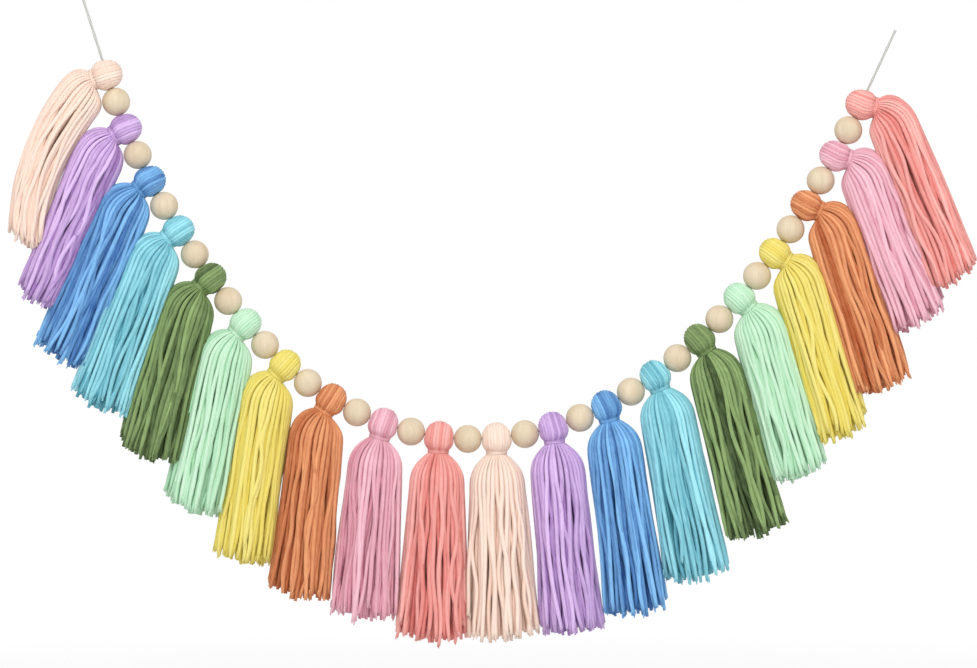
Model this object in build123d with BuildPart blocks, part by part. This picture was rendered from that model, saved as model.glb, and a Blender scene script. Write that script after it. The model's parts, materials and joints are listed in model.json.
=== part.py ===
from build123d import *
import math
import os

# A garland of twenty yarn tassels and nineteen wooden beads, threaded in turn on one
# cord that hangs in a deep U between its two bare ends. The left cord end is the
# origin, X runs to the right, Z is up, and the row hangs in the XZ plane.
# Lengths are in millimetres and angles in degrees.

# The cord: its two straight tails, and the knots that keep the row on it.
cord_diameter = 1.5
tail_length = 38.5
knot_oversize = 0.3
knot_clearance = 0.12
arc_reach_share = 0.45

# The plain beads, and the air between one ball of the row and the next.
bead_diameter = 16.0
ball_gap = 0.15
bore_clearance = 0.55
mouth_fillet = 0.3

# The tassel heads: a wooden core bead with a layer of yarn draped over it.
core_bead_diameter = 12.0
yarn_layer = 2.2
core_clearance = 0.05
yarn_mouth_clearance = 0.35

# The neck below each head, and the yarn tie that lies in a groove round it.
neck_diameter = 11.2
neck_drop = 9.4
neck_sink = 4.0
tie_width = 2.2
tie_thickness = 0.9
tie_clearance = 0.1
tie_round = 0.4

# The skirt of loose strands: a round shoulder, then a slow flare down to the cut ends.
shoulder_drop = 14.5
shoulder_diameter = 31.4
skirt_length = 89.5
end_diameter = 40.0
skirt_gap = 0.8

# One value for each tassel, from left to right. Cord directions are measured up from
# the X axis. Neck and skirt directions are measured from straight down, and are
# positive to the right.
cord_directions = (
    -72.5, -68, -62.5, -57.5, -54.5, -50.5, -42, -31, -19.5, -7.5,
    5, 16.5, 27.5, 36, 43, 49, 54.5, 58.5, 61, 65,
)
neck_directions = (
    -70, -60, -52, -53, -49, -43, -42, -33, -16, -4,
    0, 7, 14, 22, 32, 44, 55, 66, 74, 78,
)
skirt_directions = (
    -20.5, -23.5, -23.5, -19.5, -14.5, -10.5, -8, -5.5, -4, -1.5,
    2, 5.5, 7.5, 10.5, 14.5, 15, 15, 15.5, 19.5, 22,
)

tassel_count = len(cord_directions)
head_diameter = core_bead_diameter + 2 * yarn_layer
bore_diameter = cord_diameter + 2 * bore_clearance
stop_knot_diameter = bore_diameter + knot_oversize
yarn_mouth_diameter = stop_knot_diameter + 2 * yarn_mouth_clearance
pitch = (head_diameter + bead_diameter) / 2 + ball_gap
tie_bore = neck_diameter + 2 * tie_clearance
tie_diameter = tie_bore + 2 * tie_thickness
groove_diameter = tie_diameter + 2 * tie_clearance
groove_width = tie_width + 2 * tie_clearance
end_reach = tail_length + head_diameter / 2

os.makedirs("parts", exist_ok=True)


def along(direction):
    """The unit vector in the XZ plane that points along a cord direction."""
    turn = math.radians(direction)
    return Vector(math.cos(turn), 0, math.sin(turn))


def hanging(direction):
    """The unit vector at an angle from straight down, positive to the right."""
    turn = math.radians(direction)
    return Vector(math.sin(turn), 0, -math.cos(turn))


def save(part, label):
    """Name a finished piece and write it out."""
    part.label = label
    export_step(part, f"parts/{label}.step")


# The balls of the row are heads and plain beads in turn. A plain bead takes the mean of
# its neighbours' cord directions, and each ball stands one pitch from the last, in the
# mean direction of the two.
directions = [cord_directions[0]]
for before, after in zip(cord_directions, cord_directions[1:]):
    directions += [(before + after) / 2, after]
centres = [along(directions[0]) * end_reach]
for before, after in zip(directions, directions[1:]):
    centres.append(centres[-1] + along((before + after) / 2) * pitch)
heads = centres[0::2]

# The corners of the cord's route give it a straight run through the middle of each ball.
# Each corner's arc is as wide as its two runs allow.
route_points = [Vector(0, 0, 0)]
for centre, before, after in zip(centres, directions, directions[1:]):
    half_run = pitch / 2 / math.cos(math.radians(after - before) / 2)
    route_points.append(centre + along(before) * half_run)
route_points.append(centres[-1] + along(directions[-1]) * end_reach)
route_radii = []
for a, b, c in zip(route_points, route_points[1:], route_points[2:]):
    shorter_run = min((b - a).length, (c - b).length)
    half_turn = math.radians((b - a).get_angle(c - b)) / 2
    route_radii.append(arc_reach_share * shorter_run / math.tan(half_turn))

# The cord is one piece from end to end. A knot beside each end head sits on the rim of
# the core bead's bore, hidden in the mouth of the yarn, and keeps the row on the cord.
rim_height = math.sqrt(core_bead_diameter**2 - bore_diameter**2) / 2
knot_reach = stop_knot_diameter / 2 + knot_clearance
knot_stand_off = rim_height + math.sqrt(knot_reach**2 - bore_diameter**2 / 4)
knots = (
    heads[0] - along(directions[0]) * knot_stand_off,
    heads[-1] + along(directions[-1]) * knot_stand_off,
)
with BuildPart() as cord:
    with BuildLine() as route:
        FilletPolyline(*route_points, radius=route_radii)
    with BuildSketch(Plane(route_points[0], z_dir=along(directions[0]))):
        Circle(cord_diameter / 2)
    sweep()
    tube_volume = cord.part.volume
    with Locations(*knots):
        Sphere(stop_knot_diameter / 2)
cord_length = sum(edge.length for edge in route.edges())
expected_volume = math.pi * cord_diameter**2 / 4 * cord_length
print(f"cord length {cord_length:.1f}, bend radii {min(route_radii):.0f} to {max(route_radii):.0f}")
print(f"cord tube volume {tube_volume:.1f}, section times length {expected_volume:.1f}")
save(cord.part, "cord")

# The wooden balls are turned: a bored profile with eased bore edges goes once round the
# cord. Odd balls of the row are the hidden cores of the tassel heads, even ones are the
# plain beads between them.
for ball, (centre, direction) in enumerate(zip(centres, directions)):
    number = ball // 2 + 1
    is_core = ball % 2 == 0
    diameter = core_bead_diameter if is_core else bead_diameter
    label = f"tassel_{number:02}_core_bead" if is_core else f"wood_bead_{number:02}"
    with BuildPart() as wooden_ball:
        with BuildSketch(Plane(centre, x_dir=(0, 1, 0), z_dir=hanging(direction))) as profile:
            Circle(diameter / 2)
            with Locations((bore_diameter / 2, 0)):
                Rectangle(diameter, diameter, align=(Align.MAX, Align.CENTER), mode=Mode.SUBTRACT)
            fillet(profile.vertices(), mouth_fillet)
        revolve(axis=Axis(centre, along(direction)))
    save(wooden_ball.part, label)

# A skirt hangs from the middle of its shoulder, which lies below the end of the neck on
# the way from the neck's direction to the skirt's own.
shoulders = []
for centre, neck, skirt in zip(heads, neck_directions, skirt_directions):
    neck_end = centre + hanging(neck) * (neck_drop + groove_width / 2)
    shoulders.append(neck_end + hanging((neck + skirt) / 2) * shoulder_drop)


def draw_in(tassel, point, free_diameter):
    """The middle and the radius of a skirt near a point on its line. The yarn keeps its
    free size, but gives way where the skirts beside it leave less room than that."""
    sides = []
    for other in (tassel - 1, tassel + 1):
        if 0 <= other < tassel_count:
            across = abs((point - shoulders[other]).dot(along(skirt_directions[other])))
            sides.append(min(free_diameter / 2, (across - skirt_gap) / 2))
    left, right = sides[0], sides[-1]
    return point + along(skirt_directions[tassel]) * (right - left) / 2, (left + right) / 2


# A tassel's yarn is one bundle: it lies over the core bead, is drawn in to the neck, and
# falls as the skirt. The neck tie is a second solid beside it, in the neck's groove.
for tassel, centre in enumerate(heads):
    neck_axis = hanging(neck_directions[tassel])
    tie_plane = Plane(centre + neck_axis * neck_drop, x_dir=(0, 1, 0), z_dir=neck_axis)
    head_plane = Plane(centre, x_dir=(0, 1, 0), z_dir=along(cord_directions[tassel]))
    end = shoulders[tassel] + hanging(skirt_directions[tassel]) * skirt_length
    shoulder, shoulder_radius = draw_in(tassel, shoulders[tassel], shoulder_diameter)
    end, end_radius = draw_in(tassel, end, end_diameter)
    skirt_axis = end - shoulder
    fall = skirt_axis.length
    with BuildPart() as bundle:
        with BuildSketch(Plane(shoulder, x_dir=(0, 1, 0), z_dir=Vector(0, -1, 0).cross(skirt_axis))):
            with BuildLine():
                CenterArc((0, 0), shoulder_radius, 0, 90)
                Polyline(
                    (shoulder_radius, 0),
                    (end_radius, -fall),
                    (0, -fall),
                    (0, shoulder_radius),
                )
            make_face()
        revolve(axis=Axis(shoulder, skirt_axis))
        with Locations(head_plane):
            Sphere(head_diameter / 2)
        with BuildSketch(tie_plane):
            Circle(groove_diameter / 2)
        extrude(amount=groove_width / 2, both=True, mode=Mode.SUBTRACT)
        with BuildSketch(tie_plane.offset(head_diameter / 4 - neck_drop)):
            Circle(neck_diameter / 2)
        extrude(amount=neck_drop - head_diameter / 4 + groove_width / 2 + neck_sink)
        with Locations(head_plane):
            Sphere(core_bead_diameter / 2 + core_clearance, mode=Mode.SUBTRACT)
            Cylinder(yarn_mouth_diameter / 2, head_diameter, mode=Mode.SUBTRACT)
    with BuildPart() as tie:
        with BuildSketch(tie_plane):
            Circle(tie_diameter / 2)
            Circle(tie_bore / 2, mode=Mode.SUBTRACT)
        extrude(amount=tie_width / 2, both=True)
        outer_rims = tie.edges().filter_by(GeomType.CIRCLE).group_by(SortBy.RADIUS)[-1]
        fillet(outer_rims, tie_round)
    yarn = Compound(children=[bundle.part, tie.part])
    print(f"skirt {tassel + 1}: shoulder radius {shoulder_radius:.1f}, end radius {end_radius:.1f}")
    save(yarn, f"tassel_{tassel + 1:02}_yarn")
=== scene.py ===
import json
import math
import random

import bmesh
import bpy
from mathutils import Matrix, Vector


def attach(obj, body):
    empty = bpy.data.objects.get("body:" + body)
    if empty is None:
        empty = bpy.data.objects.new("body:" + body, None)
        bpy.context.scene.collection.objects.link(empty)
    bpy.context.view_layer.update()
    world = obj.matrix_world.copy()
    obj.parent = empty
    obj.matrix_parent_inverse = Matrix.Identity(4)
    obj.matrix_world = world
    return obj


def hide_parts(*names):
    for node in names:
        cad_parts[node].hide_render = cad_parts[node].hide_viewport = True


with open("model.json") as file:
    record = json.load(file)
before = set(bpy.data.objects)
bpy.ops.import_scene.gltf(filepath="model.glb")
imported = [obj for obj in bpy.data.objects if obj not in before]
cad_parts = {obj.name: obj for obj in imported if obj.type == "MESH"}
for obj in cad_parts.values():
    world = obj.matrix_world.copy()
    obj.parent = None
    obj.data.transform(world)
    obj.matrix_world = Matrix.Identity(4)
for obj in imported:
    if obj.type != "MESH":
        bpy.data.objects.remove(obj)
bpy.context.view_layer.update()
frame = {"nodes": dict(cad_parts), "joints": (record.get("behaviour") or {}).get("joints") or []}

shelf = bpy.context.scene.collection

# The camera looks straight at the hanging row, from as far away as a product photograph
# is taken, and its frame is as wide as the photograph's.
PHOTO_WIDTH = 977
PHOTO_HEIGHT = 668
METRES_PER_PIXEL = 0.00057
LEFT_TIP_PIXEL = (82.3, -3.5)
CAMERA_DISTANCE = 2.4
across = (PHOTO_WIDTH / 2 - LEFT_TIP_PIXEL[0]) * METRES_PER_PIXEL
down = (PHOTO_HEIGHT / 2 - LEFT_TIP_PIXEL[1]) * METRES_PER_PIXEL
eye = bpy.data.cameras.new("camera")
eye.sensor_width = 36
eye.lens = eye.sensor_width * CAMERA_DISTANCE / (PHOTO_WIDTH * METRES_PER_PIXEL)
camera = bpy.data.objects.new("camera", eye)
camera.location = (across, -CAMERA_DISTANCE, -down)
LEVEL = math.radians(90)
camera.rotation_euler = (LEVEL, 0, 0)
shelf.objects.link(camera)
bpy.context.scene.camera = camera

# The balls of the row are the tassel heads and the plain beads in turn. Each turns about
# the cord, so its joint says where its middle is and which way the cord runs there.
row = []
for joint in frame["joints"]:
    run = Vector(joint["axis"])
    if run.x < 0:
        run.negate()
    row.append((Vector(joint["pos_m"]), run))
row.sort(key=lambda ball: ball[0].x)
heads = row[0::2]


def new_material(name, roughness):
    """A material with its shader, nodes and links at hand."""
    material = bpy.data.materials.new(name)
    material.use_nodes = True
    nodes = material.node_tree.nodes
    shader = nodes["Principled BSDF"]
    shader.inputs["Roughness"].default_value = roughness
    return material, shader, nodes, material.node_tree.links


def linear(*screen):
    """A colour as it looks on screen, as the shader wants it."""
    light = [((c + 0.055) / 1.055) ** 2.4 if c > 0.04045 else c / 12.92 for c in screen]
    return (*light, 1)


# The cord is one length of smooth white braid. It runs straight through the middle of each
# ball and turns in the gaps between them, and its two ends are left long to tie up.
CORD_DIAMETER = 0.0015
CORD_TAIL = 0.0467
CORD_ROUNDNESS = 3
CORD_BEND_STEPS = 6
BRAID_TURNS = 420
BRAID_PLAITS = 4
route = [row[0][0] - row[0][1] * CORD_TAIL]
for (here, run), (there, next_run) in zip(row, row[1:]):
    half_run = (there - here).length / 2 / math.cos(run.angle(next_run) / 2)
    route.append(here + run * half_run)
route.append(row[-1][0] + row[-1][1] * CORD_TAIL)
cord_line = bpy.data.curves.new("garland_cord", "CURVE")
cord_line.dimensions = "3D"
cord_line.bevel_depth = CORD_DIAMETER / 2
cord_line.bevel_resolution = CORD_ROUNDNESS
cord_line.use_fill_caps = True
strand = cord_line.splines.new("NURBS")
strand.points.add(len(route) - 1)
for point, place in zip(strand.points, route):
    point.co = (*place, 1)
strand.order_u = 3
strand.use_endpoint_u = True
strand.resolution_u = CORD_BEND_STEPS
cord = bpy.data.objects.new("garland_cord", cord_line)
shelf.objects.link(cord)

braid, shader, nodes, links = new_material("white_braid_painted_shade", 0.7)
shader.inputs["Sheen Weight"].default_value = 0.2
place = nodes.new("ShaderNodeTexCoord")
stretch = nodes.new("ShaderNodeMapping")
stretch.inputs["Scale"].default_value = (BRAID_TURNS, BRAID_PLAITS, 1)
links.new(place.outputs["UV"], stretch.inputs["Vector"])
plaits_and_groove_shade = nodes.new("ShaderNodeTexWave")
plaits_and_groove_shade.wave_type = "BANDS"
plaits_and_groove_shade.bands_direction = "DIAGONAL"
plaits_and_groove_shade.inputs["Scale"].default_value = 0.5
links.new(stretch.outputs["Vector"], plaits_and_groove_shade.inputs["Vector"])
# The braid's colour is painted shade: light grey for the shade on the white cord, and darker diagonal
# bands for the shade in the grooves between its plaits.
tint = nodes.new("ShaderNodeValToRGB")
tint.color_ramp.elements[0].color = linear(0.68, 0.68, 0.66)
tint.color_ramp.elements[1].color = linear(0.83, 0.83, 0.81)
links.new(plaits_and_groove_shade.outputs["Fac"], tint.inputs["Fac"])
links.new(tint.outputs["Color"], shader.inputs["Base Color"])
bump = nodes.new("ShaderNodeBump")
bump.inputs["Strength"].default_value = 0.8
bump.inputs["Distance"].default_value = 0.0003
links.new(plaits_and_groove_shade.outputs["Fac"], bump.inputs["Height"])
links.new(bump.outputs["Normal"], shader.inputs["Normal"])
cord.data.materials.append(braid)
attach(cord, "cord")
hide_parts("cord")

# The plain beads are turned from a pale wood such as beech and left bare, with a fine
# grain. The cores under the tassel heads are smaller balls of the same wood.
GRAIN_TURNS = ((0.2, 0.9, 0.1), (1.1, 0.3, 0.8), (0.5, -0.7, 1.4), (-0.9, 0.4, 2.2))


def bare_wood(number, turn):
    """One of the cuts of wood: soft rings and fine streaks that run one way."""
    wood, shader, nodes, links = new_material(f"bare_wood_{number}", 0.62)
    place = nodes.new("ShaderNodeTexCoord")
    lie = nodes.new("ShaderNodeMapping")
    lie.inputs["Rotation"].default_value = turn
    lie.inputs["Scale"].default_value = (1, 1, 0.12)
    links.new(place.outputs["Object"], lie.inputs["Vector"])
    streaks = nodes.new("ShaderNodeTexNoise")
    streaks.inputs["Scale"].default_value = 900
    streaks.inputs["Detail"].default_value = 5
    streaks.inputs["Roughness"].default_value = 0.6
    links.new(lie.outputs["Vector"], streaks.inputs["Vector"])
    rings = nodes.new("ShaderNodeTexNoise")
    rings.inputs["Scale"].default_value = 160
    rings.inputs["Detail"].default_value = 2
    links.new(lie.outputs["Vector"], rings.inputs["Vector"])
    both = nodes.new("ShaderNodeMix")
    both.inputs["Factor"].default_value = 0.6
    links.new(streaks.outputs["Fac"], both.inputs["A"])
    links.new(rings.outputs["Fac"], both.inputs["B"])
    tint = nodes.new("ShaderNodeValToRGB")
    tint.color_ramp.elements[0].position = 0.3
    tint.color_ramp.elements[0].color = linear(0.79, 0.71, 0.59)
    tint.color_ramp.elements[1].position = 0.7
    tint.color_ramp.elements[1].color = linear(0.88, 0.82, 0.715)
    links.new(both.outputs["Result"], tint.inputs["Fac"])
    links.new(tint.outputs["Color"], shader.inputs["Base Color"])
    bump = nodes.new("ShaderNodeBump")
    bump.inputs["Strength"].default_value = 0.15
    bump.inputs["Distance"].default_value = 0.0001
    links.new(streaks.outputs["Fac"], bump.inputs["Height"])
    links.new(bump.outputs["Normal"], shader.inputs["Normal"])
    return wood


cuts = [bare_wood(number, turn) for number, turn in enumerate(GRAIN_TURNS)]
for name, node in frame["nodes"].items():
    if "bead" in name:
        number = int("".join(letter for letter in name if letter.isdigit()))
        node.material_slots[0].material = cuts[number % len(cuts)]

# The tassels are made of a soft thick acrylic yarn in ten pastel colours, which come
# twice along the row. Each dye has a deep tone, painted shade as in the creases between
# strands, and a pale one, a painted highlight. Every strand takes it a little differently,
# with fine fibres along it and a slight twist.
YARN_RADIUS = 0.00135
MELD = 1e-6
DYE_SHADES_AND_HIGHLIGHTS = {
    "yarn_peach": ((0.95, 0.815, 0.74), (0.975, 0.90, 0.845)),
    "yarn_lilac": ((0.56, 0.385, 0.66), (0.92, 0.80, 0.98)),
    "yarn_blue": ((0.04, 0.28, 0.58), (0.56, 0.80, 0.99)),
    "yarn_turquoise": ((0.24, 0.59, 0.67), (0.68, 0.94, 0.98)),
    "yarn_green": ((0.05, 0.15, 0.00), (0.61, 0.72, 0.47)),
    "yarn_mint": ((0.67, 0.87, 0.71), (0.83, 0.95, 0.85)),
    "yarn_yellow": ((0.89, 0.81, 0.32), (0.95, 0.90, 0.54)),
    "yarn_orange": ((0.66, 0.29, 0.10), (0.98, 0.70, 0.50)),
    "yarn_pink": ((0.82, 0.52, 0.60), (0.98, 0.80, 0.85)),
    "yarn_coral": ((0.87, 0.45, 0.42), (0.99, 0.76, 0.73)),
}


def dyed_and_shaded_yarn(name, deep, pale):
    """Soft yarn: a tone for each strand between painted shade and highlight, fibres along it and
    cloudy patches.
    """
    yarn, shader, nodes, links = new_material(name, 0.65)
    shader.inputs["Sheen Weight"].default_value = 0.3
    shader.inputs["Sheen Roughness"].default_value = 0.35
    shader.inputs["Sheen Tint"].default_value = linear(*pale)
    shader.inputs["Specular IOR Level"].default_value = 0.3
    tone_shade_and_highlight = nodes.new("ShaderNodeAttribute")
    tone_shade_and_highlight.attribute_name = "tone_shade_and_highlight"
    place = nodes.new("ShaderNodeTexCoord")
    twist = nodes.new("ShaderNodeMapping")
    twist.inputs["Scale"].default_value = (12, 1, 1)
    twist.inputs["Rotation"].default_value = (0, 0, 0.25)
    links.new(place.outputs["UV"], twist.inputs["Vector"])
    comb = nodes.new("ShaderNodeMapping")
    comb.inputs["Scale"].default_value = (1.2, 22, 1)
    links.new(twist.outputs["Vector"], comb.inputs["Vector"])
    shift = nodes.new("ShaderNodeMath")
    shift.operation = "MULTIPLY"
    shift.inputs[1].default_value = 60
    links.new(tone_shade_and_highlight.outputs["Fac"], shift.inputs[0])
    fibres = nodes.new("ShaderNodeTexNoise")
    fibres.noise_dimensions = "4D"
    fibres.inputs["Scale"].default_value = 1
    fibres.inputs["Detail"].default_value = 4
    fibres.inputs["Roughness"].default_value = 0.65
    links.new(comb.outputs["Vector"], fibres.inputs["Vector"])
    links.new(shift.outputs["Value"], fibres.inputs["W"])
    sharper = nodes.new("ShaderNodeMapRange")
    sharper.inputs["From Min"].default_value = 0.3
    sharper.inputs["From Max"].default_value = 0.7
    links.new(fibres.outputs["Fac"], sharper.inputs["Value"])
    mottle = nodes.new("ShaderNodeTexNoise")
    mottle.inputs["Scale"].default_value = 130
    mottle.inputs["Detail"].default_value = 2
    links.new(place.outputs["Object"], mottle.inputs["Vector"])
    along = nodes.new("ShaderNodeMix")
    along.inputs["Factor"].default_value = 0.4
    links.new(sharper.outputs["Result"], along.inputs["A"])
    links.new(mottle.outputs["Fac"], along.inputs["B"])
    both = nodes.new("ShaderNodeMix")
    both.inputs["Factor"].default_value = 0.5
    links.new(tone_shade_and_highlight.outputs["Fac"], both.inputs["A"])
    links.new(along.outputs["Result"], both.inputs["B"])
    # The ramp runs from the deep tone, painted shade as in the creases between strands, to the pale
    # tone, a painted highlight.
    tint = nodes.new("ShaderNodeValToRGB")
    tint.color_ramp.elements[0].position = 0.15
    tint.color_ramp.elements[0].color = linear(*deep)
    tint.color_ramp.elements[1].position = 0.8
    tint.color_ramp.elements[1].color = linear(*pale)
    links.new(both.outputs["Result"], tint.inputs["Fac"])
    links.new(tint.outputs["Color"], shader.inputs["Base Color"])
    bump = nodes.new("ShaderNodeBump")
    bump.inputs["Strength"].default_value = 0.6
    bump.inputs["Distance"].default_value = 0.0003
    links.new(sharper.outputs["Result"], bump.inputs["Height"])
    links.new(bump.outputs["Normal"], shader.inputs["Normal"])
    return yarn


yarns = [dyed_and_shaded_yarn(name, deep, pale) for name, (deep, pale) in DYE_SHADES_AND_HIGHLIGHTS.items()]


def lay_strands(name, layers, roundness, chance):
    """One mesh of yarn from layers of strands. A strand is a list of places, each with the
    share of the full thickness there. It gets a tone of its own from its layer's range,
    where 0 is the dye's deep tone, painted shade, and 1 its pale one, a painted highlight."""
    work = bmesh.new()
    tone_shade_and_highlight = work.verts.layers.float.new("tone_shade_and_highlight")
    for strands, (deepest, palest) in layers:
        line = bpy.data.curves.new(name, "CURVE")
        line.dimensions = "3D"
        line.bevel_depth = YARN_RADIUS
        line.bevel_resolution = roundness
        line.use_fill_caps = True
        for places in strands:
            spline = line.splines.new("POLY")
            spline.points.add(len(places) - 1)
            for point, (place, thickness) in zip(spline.points, places):
                point.co = (*place, 1)
                point.radius = thickness
            spline.use_smooth = True
        carrier = bpy.data.objects.new(name, line)
        shelf.objects.link(carrier)
        now = bpy.context.evaluated_depsgraph_get()
        tubes = bpy.data.meshes.new_from_object(carrier.evaluated_get(now))
        bpy.data.objects.remove(carrier)
        laid = len(work.verts)
        work.from_mesh(tubes)
        bpy.data.meshes.remove(tubes)
        fresh = list(work.verts)[laid:]
        bmesh.ops.remove_doubles(work, verts=fresh, dist=MELD)
        fresh = list(work.verts)[laid:]
        unseen = set(fresh)
        for first in fresh:
            if first not in unseen:
                continue
            value = chance.uniform(deepest, palest)
            reach = [first]
            unseen.discard(first)
            while reach:
                vertex = reach.pop()
                vertex[tone_shade_and_highlight] = value
                for edge in vertex.link_edges:
                    other = edge.other_vert(vertex)
                    if other in unseen:
                        unseen.discard(other)
                        reach.append(other)
    mesh = bpy.data.meshes.new(name)
    work.to_mesh(mesh)
    work.free()
    piece = bpy.data.objects.new(name, mesh)
    shelf.objects.link(piece)
    return piece


# Each tassel hangs from its head by a narrow neck. The directions of necks and skirts are
# measured from straight down, in degrees, and are positive to the right.
NECK_DIRECTIONS = (
    -70, -60, -52, -53, -49, -43, -42, -33, -16, -4,
    0, 7, 14, 22, 32, 44, 55, 66, 74, 78,
)
SKIRT_DIRECTIONS = (
    -20.5, -23.5, -23.5, -19.5, -14.5, -10.5, -8, -5.5, -4, -1.5,
    2, 5.5, 7.5, 10.5, 14.5, 15, 15, 15.5, 19.5, 22,
)
FRONT = Vector((0, -1, 0))


def hanging(direction):
    """The unit vector at an angle from straight down, positive to the right."""
    turn = math.radians(direction)
    return Vector((math.sin(turn), 0, -math.cos(turn)))


def rightward(direction):
    """The unit vector to the right of what hangs in a direction."""
    return FRONT.cross(hanging(direction)).normalized()


# A head is the middle of the hank of yarn, laid over the core bead from front to back and
# pressed against the plain beads beside it. Its strands lie side by side over the top and
# are gathered below it to the neck. A fullness of 2 is a ball, and more is nearer a drum.
HEAD_RADIUS = 0.0092
HEAD_HALF_LENGTH = 0.0084
HEAD_FULLNESS = 2.12
HEAD_SAG = 0.10
HEAD_SAG_FROM = 0.35
HEAD_SAG_OVER = 0.4
HEAD_STRANDS = 14
HEAD_STEPS = 14
HEAD_SLANT = 76
HEAD_THICKNESS = 0.86
HEAD_STRAND_SIZES = (0.9, 1.06)
HEAD_SPACING_GIVE = 0.13
HEAD_TONES = (0.15, 0.9)
# The strands are led towards the neck from half way down, and are thin by the time they
# reach it. They come to it from this far round, in degrees, and lie in it at two heights.
HEAD_TURN_EASE = 1.6
GATHER_FROM = 0.5
GATHER_ROUND = 83
GATHER_GIVE = 0.03
GATHER_MARGIN = 1.12
THIN_FROM = 0.7
THIN_OVER = 0.3
NECK_DROP = 0.0084
NECK_RADIUS = 0.0051
NECK_THICKNESS = 0.46
HEAD_NECK_THICKNESS = 0.62
NECK_LAY = ((-0.0006, 1.04), (0.0012, 0.97))
BEAD_RADIUS = 0.0080
BEAD_AIR = 0.00006


def ease(t):
    """A smooth way from 0 to 1."""
    t = min(1, max(0, t))
    return t * t * (3 - 2 * t)


def pressed_in(along_cord, from_cord, thickness, beads):
    """How far along the cord a strand may lie, if it is to clear the beads beside the head
    wherever the tassel swings round the cord."""
    for bead_along, bead_lift in beads:
        reach = BEAD_RADIUS + BEAD_AIR + thickness
        aside = max(0, from_cord - bead_lift)
        if bead_along * along_cord > 0 and aside < reach:
            most = abs(bead_along) - math.sqrt(reach**2 - aside**2)
            along_cord = math.copysign(min(abs(along_cord), most), along_cord)
    return along_cord


def head_strands(centre, cord_run, neck, chance):
    """The strands over one head, each from the neck at the back to the neck in front."""
    axis = hanging(neck)
    beside = rightward(neck)
    up = (-axis - cord_run * -axis.dot(cord_run)).normalized()
    radius = HEAD_RADIUS - YARN_RADIUS * HEAD_THICKNESS
    half_length = HEAD_HALF_LENGTH - YARN_RADIUS * HEAD_THICKNESS
    beads = []
    for bead, run in row[1::2]:
        along = (bead - centre).dot(cord_run)
        if abs(along) < 2 * (HEAD_RADIUS + BEAD_RADIUS):
            beads.append((along, (bead - centre - cord_run * along).length))
    gather = math.asin(NECK_RADIUS * GATHER_MARGIN / (radius * (1 + HEAD_SAG)))
    strands = []
    for number in range(HEAD_STRANDS):
        give = chance.uniform(-HEAD_SPACING_GIVE, HEAD_SPACING_GIVE)
        share = max(-1, min(1, 2 * (number + give) / (HEAD_STRANDS - 1) - 1))
        top = math.radians(HEAD_SLANT) * share
        size = HEAD_THICKNESS * chance.uniform(*HEAD_STRAND_SIZES)
        halves = []
        for face in (-FRONT, FRONT):
            give = chance.uniform(-GATHER_GIVE, GATHER_GIVE)
            azimuth = math.radians(GATHER_ROUND) * max(-1, min(1, share + give))
            ring = beside * math.sin(azimuth) + face * math.cos(azimuth)
            aim = axis * math.cos(gather) + ring * math.sin(gather)
            slant_end = math.asin(aim.dot(cord_run))
            turn_end = math.atan2(aim.dot(face), aim.dot(up))
            half = []
            for step in range(HEAD_STEPS + 1):
                t = step / HEAD_STEPS
                turn = turn_end * (1 - (1 - t) ** HEAD_TURN_EASE)
                slant = top + (slant_end - top) * ease((t - GATHER_FROM) / (1 - GATHER_FROM))
                reach = (
                    (abs(math.sin(slant)) / half_length) ** HEAD_FULLNESS
                    + (math.cos(slant) / radius) ** HEAD_FULLNESS
                ) ** (-1 / HEAD_FULLNESS)
                reach *= 1 + HEAD_SAG * ease((t - HEAD_SAG_FROM) / HEAD_SAG_OVER)
                thickness = size + (HEAD_NECK_THICKNESS - size) * ease((t - THIN_FROM) / THIN_OVER)
                from_cord = reach * math.cos(slant)
                along = pressed_in(reach * math.sin(slant), from_cord, thickness * YARN_RADIUS, beads)
                off_cord = up * math.cos(turn) + face * math.sin(turn)
                half.append((centre + cord_run * along + off_cord * from_cord, thickness))
            for drop, squeeze in NECK_LAY:
                place = centre + axis * (NECK_DROP + drop) + ring * (NECK_RADIUS * squeeze)
                half.append((place, HEAD_NECK_THICKNESS))
            halves.append(half)
        strands.append(halves[0][:0:-1] + halves[1])
    return strands


# A skirt is some hundred and thirty loose strands, in rings about its middle line. They
# leave the neck pressed together, arch over a round shoulder and fall to ragged cut ends,
# where each strand frays into fibres.
NECK_END = 0.0092
SHOULDER_DROP = 0.0205
SHOULDER_RISE = 0.17
SHOULDER_FALL_SHARE = 0.7
SKIRT_BEND = 0.0159
SKIRT_LENGTH = 0.0895
SHOULDER_HALF_WIDTH = 0.0160
END_HALF_WIDTH = 0.0188
# How much of that girth each skirt takes at its end.
END_SHARES = (
    1, 1, 1, 1, 1, 1, 0.98, 1, 1.04, 1.16,
    1.20, 1.00, 1, 1.02, 1, 1, 1, 1, 1, 1,
)
# How much longer or shorter than usual each skirt was cut.
CUTS = (
    -0.0040, -0.0030, -0.0010, -0.0035, -0.0055, -0.0035, 0.0, -0.0010, -0.0048, 0.0,
    -0.0022, 0.0015, 0.0035, 0.0020, 0.0008, -0.0070, -0.0020, 0.0010, -0.0045, 0.0045,
)
OVERLAP = 0.0024
INNER_OVERLAP = 0.0038
RING_STEPS = (0.0, 0.0014, 0.0033, 0.0057, 0.0083, 0.0110)
STRAND_PITCH = 2.05
STRAND_SIZES = (0.92, 1.08)
# The outer ring's tones reach the painted highlight, and the inner rings keep the deep tones, painted
# shade inside the skirt.
OUTER_TONES = (0.3, 0.95)
INNER_SHADED_TONES = (0.0, 0.4)
# Each skirt is turned a little like a roof tile where it leans on the next, and flattened.
SHINGLE = 20
SHINGLE_FLATNESS = 0.14
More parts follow.
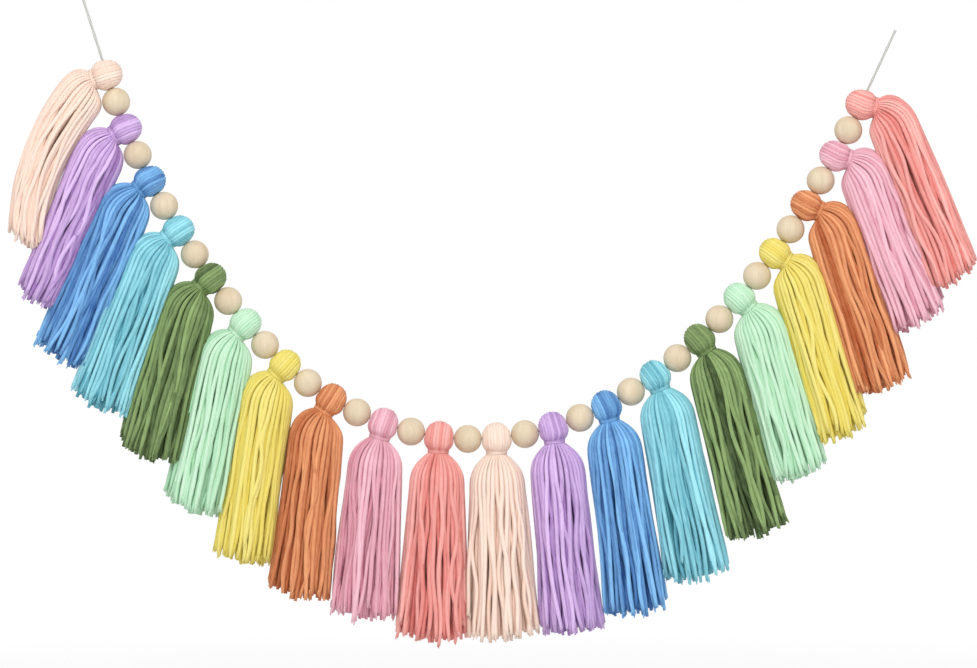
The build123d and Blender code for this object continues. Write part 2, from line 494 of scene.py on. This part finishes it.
# The arch over the shoulder, from just inside the neck, where the strands are thin.
ARCH_STEPS = 11
ARCH_HANDLE = 0.42
ARCH_INSIDE = 0.0019
ARCH_INSIDE_SHARE = 0.9
ARCH_LEAVE = 0.75
ARCH_THICKEN = 1.25
ARCH_GIVE = 0.45
INNER_BULGE = 1.0
# The fall: how far a strand's length strays, and how far some are left short.
FALL_STEPS = 20
UNEVEN = 0.0019
UNEVEN_MOST = 0.0034
SIDES_SHORTER = 0.003
SHORT_STRANDS = 0.07
SHORT_BY = (0.003, 0.010)
# Strands clump, fan out, swing, bulk out and wiggle, sink in and flick out at the end. A
# wave is given by its reach and by its slowest and fastest half turns over the fall. A
# speed says how early in the fall a thing is done, and a lateness how late it sets in.
CLUMPS = 8
CLUMP_GIVE = 0.3
CLUMP_PULL = 0.14
CLUMP_SPEED = 1.2
SPACING_GIVE = 0.2
FAN = 0.0028
FAN_LATENESS = 1.5
WAVES = ((0.0024, 0.8, 1.8), (0.0012, 0.8, 1.8), (0.0021, 2.2, 4.4))
SINK = 0.0013
SINK_SPEED = 2
FLICK = 0.0006
FLICK_LATENESS = 6
# The cut end of a strand is drawn in, and a few of its fibres stand out beyond it. A fibre
# starts inside the strand, bends a little beyond the cut and thins out to its tip.
TIP_FROM = 0.9
TIP_OVER = 0.1
TIP_DRAW = 0.28
FRAY_STRANDS = 3
FRAY_SPLAY = 0.00038
FRAY_LENGTHS = (0.0002, 0.0012)
FRAY_ROOT = 0.0022
FRAY_BEND = 0.4
FRAY_SPREADS = (1.3, 1.4)
FRAY_THICKNESSES = (0.40, 0.30, 0.12)
FRAY_TONES = (0.5, 1.0)
# The end skirts have a clear side. The first bows out into it, and both hang back in below:
# how far each goes to the right half way down, and then at the end.
BOWS = {0: (-0.0054, 0.0038), 19: (-0.0006, -0.0034)}

necks = [centre + hanging(neck) * NECK_END for (centre, run), neck in zip(heads, NECK_DIRECTIONS)]
shoulders = [
    end + hanging(neck + (skirt - neck) * SHOULDER_FALL_SHARE)
    * (SHOULDER_DROP * (1 - SHOULDER_RISE * abs(math.sin(math.radians(neck)))))
    for end, neck, skirt in zip(necks, NECK_DIRECTIONS, SKIRT_DIRECTIONS)
]
ends = [
    end + hanging((neck + skirt) / 2) * SKIRT_BEND + hanging(skirt) * SKIRT_LENGTH
    for end, neck, skirt in zip(necks, NECK_DIRECTIONS, SKIRT_DIRECTIONS)
]


def room(tassel, point, free, inner_overlap):
    """The middle and the half width of a skirt near a point, between its neighbours. It
    may lap over them, and more so on the side that faces the bottom of the row."""
    sides = []
    for other in (tassel - 1, tassel + 1):
        if 0 <= other < len(heads):
            line = rightward(SKIRT_DIRECTIONS[other])
            gap = abs((point - ends[other]).dot(line)) / 2
            is_inner = heads[other][0].z < heads[tassel][0].z
            sides.append(min(free, gap + (inner_overlap if is_inner else OVERLAP)))
    left, right = sides[0], sides[-1]
    middle = point + rightward(SKIRT_DIRECTIONS[tassel]) * ((right - left) / 2)
    return middle, (left + right) / 2


class Skirt:
    """Where one skirt's strands lie: its middle line, its girth and its neck."""

    def __init__(self, tassel):
        neck, skirt = NECK_DIRECTIONS[tassel], SKIRT_DIRECTIONS[tassel]
        self.shoulder, self.half_width = room(
            tassel, shoulders[tassel], SHOULDER_HALF_WIDTH, INNER_OVERLAP
        )
        end, self.end_half_width = room(
            tassel, ends[tassel], END_HALF_WIDTH * END_SHARES[tassel], OVERLAP
        )
        self.end_girth = (self.end_half_width - YARN_RADIUS) / (self.half_width - YARN_RADIUS)
        self.fall = end - self.shoulder
        self.down = self.fall.normalized()
        self.bow, self.hang_back = BOWS.get(tassel, (0, 0))
        self.lean = math.sin(math.radians(neck))
        tilt = math.radians(-SHINGLE) * self.lean
        right = FRONT.cross(self.down).normalized()
        self.wide = right * math.cos(tilt) + FRONT * math.sin(tilt)
        flatness = 1 - SHINGLE_FLATNESS * abs(self.lean)
        self.deep = (FRONT * math.cos(tilt) - right * math.sin(tilt)) * flatness
        self.neck = necks[tassel]
        self.neck_down = hanging(neck)
        self.neck_right = rightward(neck)

    def out(self, angle):
        """Outwards from the middle line, at an angle round it."""
        return self.wide * math.cos(angle) + self.deep * math.sin(angle)

    def side(self, angle):
        """Round the middle line, at an angle."""
        return self.deep * math.cos(angle) - self.wide * math.sin(angle)

    def arch(self, angle, radius, size):
        """From inside the neck over the shoulder, and the length of that way."""
        share = radius / self.half_width
        outward = self.neck_right * math.cos(angle) + FRONT * math.sin(angle)
        first = self.neck + outward * (NECK_RADIUS * share)
        last = self.shoulder + self.out(angle) * radius
        bulge = INNER_BULGE * max(0, -self.lean * math.cos(angle)) * share
        handle = (last - first).length * ARCH_HANDLE
        leave = (self.neck_down * (ARCH_LEAVE - bulge) + outward * share).normalized() * handle
        bow_start = Vector((4 * self.bow / self.fall.length, 0, 0))
        arrive = (self.down + bow_start).normalized() * handle
        places = [(first - self.neck_down * ARCH_INSIDE, NECK_THICKNESS * ARCH_INSIDE_SHARE)]
        for step in range(ARCH_STEPS + 1):
            t = step / ARCH_STEPS
            place = (
                first * (1 - t) ** 3
                + (first + leave) * (3 * t * (1 - t) ** 2)
                + (last - arrive) * (3 * t * t * (1 - t))
                + last * t ** 3
            )
            thickness = NECK_THICKNESS + (size - NECK_THICKNESS) * ease(t * ARCH_THICKEN)
            places.append((place, thickness))
        way = sum((b[0] - a[0]).length for a, b in zip(places, places[1:]))
        return places, way


def frayed_end(tip, along, chance):
    """A few loose fibres beyond the cut end of a strand."""
    at_root, at_bend, at_tip = FRAY_THICKNESSES
    spread_at_bend, spread_at_tip = FRAY_SPREADS
    fibres = []
    for fibre in range(FRAY_STRANDS):
        splay = Vector([chance.gauss(0, FRAY_SPLAY) for k in range(3)])
        length = chance.uniform(*FRAY_LENGTHS)
        fibres.append([
            (tip - along * FRAY_ROOT + splay, at_root),
            (tip + along * (length * FRAY_BEND) + splay * spread_at_bend, at_bend),
            (tip + along * length + splay * spread_at_tip, at_tip),
        ])
    return fibres


def skirt_layers(tassel, chance):
    """The strands of one skirt: the outer ring with its frayed ends, and the inner rings."""
    skirt = Skirt(tassel)
    outer_radius = skirt.half_width - YARN_RADIUS
    turn = math.tau / CLUMPS
    clumps = [turn * (k + chance.uniform(-CLUMP_GIVE, CLUMP_GIVE)) for k in range(CLUMPS)]
    outer, inner, fibres = [], [], []
    for inset in RING_STEPS:
        radius = outer_radius - inset
        if radius < YARN_RADIUS:
            break
        count = max(3, round(math.tau * radius / (YARN_RADIUS * STRAND_PITCH)))
        start = chance.random() * math.tau
        gives = [chance.uniform(-SPACING_GIVE, SPACING_GIVE) for k in range(count)]
        angles = [start + math.tau * (k + give) / count for k, give in enumerate(gives)]
        arches = [skirt.arch(angle, radius, chance.uniform(*STRAND_SIZES)) for angle in angles]
        usual_way = sum(way for places, way in arches) / count
        for angle, (places, way) in zip(angles, arches):
            places = list(places)
            size = places[-1][1]
            drop = skirt.fall.length + CUTS[tassel] - (way - usual_way) * ARCH_GIVE
            drop += max(-UNEVEN_MOST, min(UNEVEN_MOST, chance.gauss(0, UNEVEN)))
            drop -= SIDES_SHORTER * math.cos(angle) ** 2
            if chance.random() < SHORT_STRANDS:
                drop -= chance.uniform(*SHORT_BY)
            nearest = min(clumps, key=lambda c: abs(math.remainder(c - angle, math.tau)))
            pull = math.remainder(nearest - angle, math.tau) * chance.uniform(0, CLUMP_PULL)
            fan = chance.triangular(-FAN, FAN)
            waves = []
            for most, slowest, fastest in WAVES:
                sweep = chance.triangular(-most, most)
                rate = chance.uniform(slowest, fastest)
                waves.append((sweep, rate, chance.uniform(-0.5, 0.5)))
            sunk = chance.uniform(0, SINK)
            flick = abs(chance.gauss(0, FLICK))
            for step in range(1, FALL_STEPS + 1):
                t = step / FALL_STEPS
                here = angle + pull * ease(t * CLUMP_SPEED)
                girth = 1 + (skirt.end_girth - 1) * t
                swing, bulk, wiggle = (
                    sweep * math.sin(math.pi * (rate * t + phase)) - sweep * math.sin(math.pi * phase)
                    for sweep, rate, phase in waves
                )
                inwards = sunk * ease(t * SINK_SPEED)
                flicked = flick * t ** FLICK_LATENESS
                place = (
                    skirt.shoulder
                    + skirt.down * (drop * t)
                    + skirt.out(here) * (radius * girth - inwards + bulk + flicked)
                    + skirt.side(here) * (swing + wiggle + fan * t ** FAN_LATENESS)
                )
                place.x += skirt.bow * (4 * t * (1 - t)) + skirt.hang_back * t * t
                places.append((place, size * (1 - TIP_DRAW * ease((t - TIP_FROM) / TIP_OVER))))
            if inset == 0:
                outer.append(places)
                before, tip = places[-2][0], places[-1][0]
                fibres += frayed_end(tip, (tip - before).normalized(), chance)
            else:
                inner.append(places)
    return [(outer, OUTER_TONES), (inner, INNER_SHADED_TONES), (fibres, FRAY_TONES)]


# Two turns of the same yarn, pulled thin and tight, tie the neck. They end in a small
# knot at the back, whose two ends lie over the shoulder.
TIE_TURNS = 2
TIE_STEPS = 20
TIE_RADIUS = 0.0057
TIE_THICKNESS = 0.34
TIE_PITCH = 0.0008
TIE_TILT = 0.0004
TIE_UNEVEN = 0.1
TIE_SWELLS = 3
TIE_TONES = (0.5, 0.9)
KNOT_STEPS = 11
KNOT_STEPS_A_TURN = 8
KNOT_RADIUS = 0.0007
KNOT_RISE = 0.0004
END_SIDES = (-0.16, 0.13)
END_STEPS = (1, 7)
END_LIFT = 0.0006


def tie_layers(tassel, centre, neck, chance):
    """The tie of one neck: its turns, its knot and its two ends."""
    down = hanging(neck)
    right = rightward(neck)
    middle = centre + down * NECK_DROP
    tilt = chance.uniform(-TIE_TILT, TIE_TILT)
    turns = []
    for step in range(TIE_TURNS * TIE_STEPS + 1):
        turn = step / TIE_STEPS
        angle = turn * math.tau
        place = (
            middle
            + down * ((turn - TIE_TURNS / 2) * TIE_PITCH + tilt * math.sin(angle))
            - FRONT * (TIE_RADIUS * math.cos(angle))
            + right * (TIE_RADIUS * math.sin(angle))
        )
        swell = TIE_UNEVEN * math.sin(TIE_SWELLS * angle + tassel)
        turns.append((place, TIE_THICKNESS * (1 + swell)))
    knot = []
    for step in range(KNOT_STEPS):
        angle = step * math.tau / KNOT_STEPS_A_TURN
        place = (
            middle
            - FRONT * (TIE_RADIUS + KNOT_RADIUS + KNOT_RISE * math.sin(angle / 2))
            + right * (KNOT_RADIUS * math.cos(angle))
            + down * (KNOT_RADIUS * math.sin(angle))
        )
        knot.append((place, TIE_THICKNESS))
    skirt = Skirt(tassel)
    loose = []
    for side in END_SIDES:
        places, way = skirt.arch(-math.pi / 2 + side, skirt.half_width + KNOT_RADIUS, TIE_THICKNESS)
        lie = places[slice(*END_STEPS)]
        loose.append([(place - FRONT * END_LIFT, TIE_THICKNESS) for place, thickness in lie])
    return [([turns, knot] + loose, TIE_TONES)]


# The three pieces of a tassel are laid with its own draws of chance, in its own dye. They
# stand for the plain yarn solids and swing with their tassel.
FIRST_DRAW = 100
HEAD_ROUNDNESS = 2
ROUNDNESS = 1
for tassel, (centre, cord_run) in enumerate(heads):
    name = f"tassel_{tassel + 1:02}"
    chance = random.Random(FIRST_DRAW + tassel)
    neck = NECK_DIRECTIONS[tassel]
    pieces = (
        ("head", HEAD_ROUNDNESS, [(head_strands(centre, cord_run, neck, chance), HEAD_TONES)]),
        ("neck_tie", ROUNDNESS, tie_layers(tassel, centre, neck, chance)),
        ("skirt", ROUNDNESS, skirt_layers(tassel, chance)),
    )
    for kind, roundness, layers in pieces:
        piece = lay_strands(f"{name}_{kind}", layers, roundness, chance)
        piece.data.materials.append(yarns[tassel % len(yarns)])
        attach(piece, name)
        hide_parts(f"{name}_yarn")

# The row hangs in front of nothing but light, over a plain pale floor that keeps its
# shadow and fades to white around it. A broad lamp above and in front makes the soft
# shade that gathers between the strands.
FLOOR_DROP = 0.43
FLOOR_RADIUS = 2.4


def seen_directly(nodes, links):
    """1 for the camera, and for what glossy and clear things show, and 0 for light."""
    path = nodes.new("ShaderNodeLightPath")
    either = nodes.new("ShaderNodeMath")
    either.operation = "MAXIMUM"
    links.new(path.outputs["Is Camera Ray"], either.inputs[0])
    links.new(path.outputs["Is Glossy Ray"], either.inputs[1])
    any_of = nodes.new("ShaderNodeMath")
    any_of.operation = "MAXIMUM"
    links.new(either.outputs["Value"], any_of.inputs[0])
    links.new(path.outputs["Is Transmission Ray"], any_of.inputs[1])
    return any_of.outputs["Value"]


floor_mesh = bpy.data.meshes.new("floor")
work = bmesh.new()
bmesh.ops.create_circle(work, cap_ends=True, segments=64, radius=FLOOR_RADIUS)
bmesh.ops.translate(work, verts=work.verts, vec=(across, 0, -FLOOR_DROP))
work.to_mesh(floor_mesh)
work.free()
floor = bpy.data.objects.new("floor", floor_mesh)
shelf.objects.link(floor)
paper, shader, nodes, links = new_material("pale_floor", 0.9)
shader.inputs["Base Color"].default_value = linear(0.97, 0.97, 0.97)
floor.data.materials.append(paper)
place = nodes.new("ShaderNodeTexCoord")
middle = nodes.new("ShaderNodeVectorMath")
middle.operation = "DISTANCE"
middle.inputs[1].default_value = (across, 0, -FLOOR_DROP)
links.new(place.outputs["Object"], middle.inputs[0])
fade = nodes.new("ShaderNodeMapRange")
fade.inputs["From Min"].default_value = 0.35
fade.inputs["From Max"].default_value = 0.95
fade.inputs["To Min"].default_value = 0.7
fade.inputs["To Max"].default_value = 1
links.new(middle.outputs["Value"], fade.inputs["Value"])
amount = nodes.new("ShaderNodeMath")
amount.operation = "MULTIPLY"
links.new(fade.outputs["Result"], amount.inputs[0])
links.new(seen_directly(nodes, links), amount.inputs[1])
white = nodes.new("ShaderNodeEmission")
white.inputs["Strength"].default_value = 1
choose = nodes.new("ShaderNodeMixShader")
links.new(amount.outputs["Value"], choose.inputs["Fac"])
links.new(shader.outputs["BSDF"], choose.inputs[1])
links.new(white.outputs["Emission"], choose.inputs[2])
links.new(choose.outputs["Shader"], nodes["Material Output"].inputs["Surface"])

world = bpy.data.worlds.new("studio")
bpy.context.scene.world = world
world.use_nodes = True
nodes = world.node_tree.nodes
links = world.node_tree.links
light = nodes["Background"]
light.inputs["Strength"].default_value = 0.60
seen = nodes.new("ShaderNodeBackground")
seen.inputs["Strength"].default_value = 1
for backdrop in (light, seen):
    backdrop.inputs["Color"].default_value = (1, 1, 1, 1)
choose = nodes.new("ShaderNodeMixShader")
links.new(seen_directly(nodes, links), choose.inputs["Fac"])
links.new(light.outputs["Background"], choose.inputs[1])
links.new(seen.outputs["Background"], choose.inputs[2])
links.new(choose.outputs["Shader"], nodes["World Output"].inputs["Surface"])

lamp = bpy.data.lights.new("softbox", "AREA")
lamp.shape = "RECTANGLE"
lamp.size = 2.2
lamp.size_y = 1.2
lamp.energy = 32
softbox = bpy.data.objects.new("softbox", lamp)
softbox.location = (across, -1.6, 1.2)
aim = Vector((across, 0, -down)) - softbox.location
softbox.rotation_euler = aim.to_track_quat("-Z", "Y").to_euler()
shelf.objects.link(softbox)
bpy.context.scene.view_settings.view_transform = "Standard"

bpy.context.view_layer.update()
